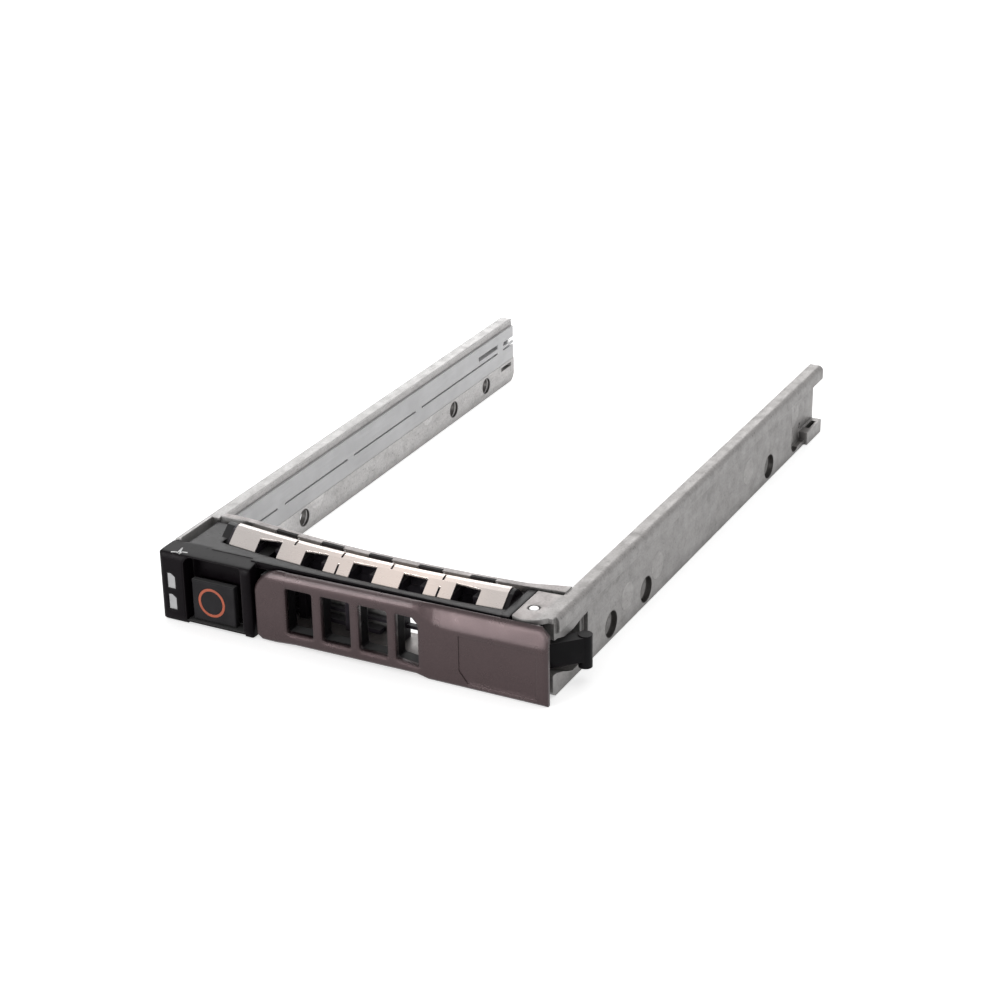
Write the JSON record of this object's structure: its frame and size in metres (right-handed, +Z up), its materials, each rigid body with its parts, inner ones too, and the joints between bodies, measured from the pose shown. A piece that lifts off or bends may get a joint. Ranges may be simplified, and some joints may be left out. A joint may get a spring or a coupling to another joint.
{
  "type": "hot swap drive caddy",
  "caption": "Open cast tray with side rails for a 2.5 inch drive, black front bezel with release button, vented swing handle with hook, and a bowed shielding spring strip.",
  "frame": {"origin": "middle of the whole caddy's footprint, at its underside", "axes": "+X to the right seen from the front, +Y from the front bezel towards the connector end, +Z up"},
  "size_m": [0.0798, 0.1326, 0.0163],
  "materials": {
    "cast_metal": "as-cast, finely speckled",
    "black_plastic": "fine satin",
    "grey_plastic": "satin",
    "clear_plastic": "clear, slightly milky",
    "spring_steel": "bright rolled",
    "bronze_paint": "satin metallic",
    "orange_mark": "smooth",
    "steel": "bright"
  },
  "bodies": {
    "tray": {"tray_frame": "cast_metal", "front_bezel": "black_plastic", "vent_carrier": "grey_plastic", "light_pipe": "clear_plastic", "emi_strip": "spring_steel", "hinge_pin": "steel", "bezel_screws": "steel", "button_spring": "steel", "handle_spring": "steel"},
    "button": {"release_button": "black_plastic", "button_ring": "orange_mark"},
    "handle": {"handle_cover": "bronze_paint", "handle_lever": "black_plastic"}
  },
  "joints": [
    {"name": "handle_swing", "type": "hinge", "parent": "tray", "child": "handle", "pos_m": [0.03182, -0.0599, 0.007], "axis": [0, 0, 1], "range_deg": [0, 40], "deforming": ["handle_spring"]},
    {"name": "button_press", "type": "slide", "parent": "tray", "child": "button", "axis": [0, 1, 0], "range_m": [0, 0.0012], "stiffness_N_per_m": 900, "springref_m": -0.001, "deforming": ["button_spring"]}
  ]
}
